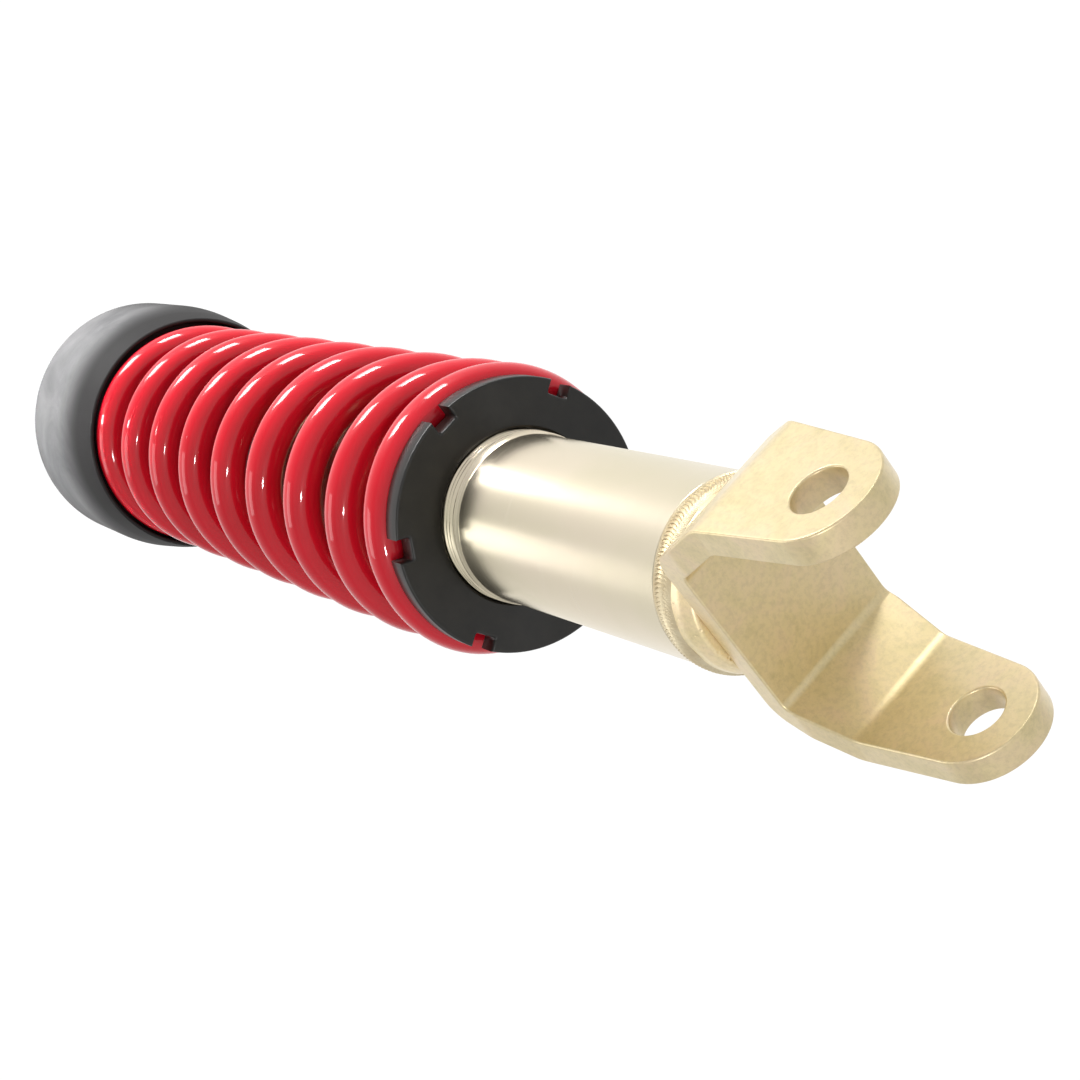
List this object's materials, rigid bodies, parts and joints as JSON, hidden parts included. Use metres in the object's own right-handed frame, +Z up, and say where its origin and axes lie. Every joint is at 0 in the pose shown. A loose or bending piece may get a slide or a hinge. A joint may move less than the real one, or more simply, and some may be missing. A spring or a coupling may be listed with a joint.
{
  "type": "coilover strut",
  "caption": "Front coilover strut with a welded lower clevis, a threaded body with an adjuster collar, a red coil spring and a rubber upper isolator.",
  "frame": {"origin": "on the lower bolt's axis, midway between the clevis ears", "axes": "+Z up along the damper's axis towards the upper mount, +X along the lower bolt"},
  "size_m": [0.114, 0.114, 0.625],
  "materials": {
    "yellow_zinc": "yellow zinc plate, satin and slightly mottled",
    "tube_zinc": "pale yellow zinc plate over a turned tube, satin",
    "black_anodised": "black anodised, with fine turning marks",
    "red_coat": "gloss red powder coat",
    "steel": "machined steel",
    "black_steel": "satin black phosphate",
    "chrome_rod": "hard chrome, polished",
    "rubber": "moulded black rubber",
    "isolator_rubber": "moulded black rubber with a dusty bloom",
    "bump_urethane": "microcellular urethane bump stop",
    "black_plastic": "moulded black plastic"
  },
  "bodies": {
    "strut_body": {"lower_clevis": "yellow_zinc", "end_plug": "yellow_zinc", "clevis_weld": "yellow_zinc", "body_tube": "tube_zinc", "pressure_tube": "steel", "base_valve": "steel", "base_valve_shims": "steel", "base_valve_bolt": "steel", "rod_guide": "steel", "rod_bushing": "steel", "rod_seal": "rubber", "end_cap": "black_steel"},
    "spring_carrier": {"coil_spring": "red_coat"},
    "collar": {"adjuster_collar": "black_anodised", "collar_screw": "black_steel"},
    "rod_assembly": {"piston_rod": "chrome_rod", "piston": "steel", "piston_band": "black_plastic", "rebound_shims": "steel", "compression_shims": "steel", "piston_nut": "steel", "rebound_bumper": "rubber", "bump_stop": "bump_urethane", "bump_cup": "black_steel", "dust_tube": "black_plastic", "upper_perch": "black_steel", "upper_isolator": "isolator_rubber", "stem_sleeve": "steel", "lower_bushing": "rubber", "upper_bushing": "rubber", "stem_washer": "steel", "stem_nut": "steel"}
  },
  "joints": [
    {"name": "perch_travel", "type": "slide", "parent": "strut_body", "child": "spring_carrier", "axis": [0, 0, 1], "range_m": [0, 0.05]},
    {"name": "collar_turn", "type": "hinge", "parent": "spring_carrier", "child": "collar", "pos_m": [0, 0, 0.1991], "axis": [0, 0, 1], "range_deg": [0, 9000]},
    {"name": "rod_slide", "type": "slide", "parent": "spring_carrier", "child": "rod_assembly", "axis": [0, 0, 1], "range_m": [-0.1, 0], "stiffness_N_per_m": 60000, "springref_m": 0.002, "deforming": ["coil_spring"]}
  ],
  "couplings": [
    {"joint": "collar_turn", "follows": "perch_travel", "rad_per_m": 3141.6}
  ]
}
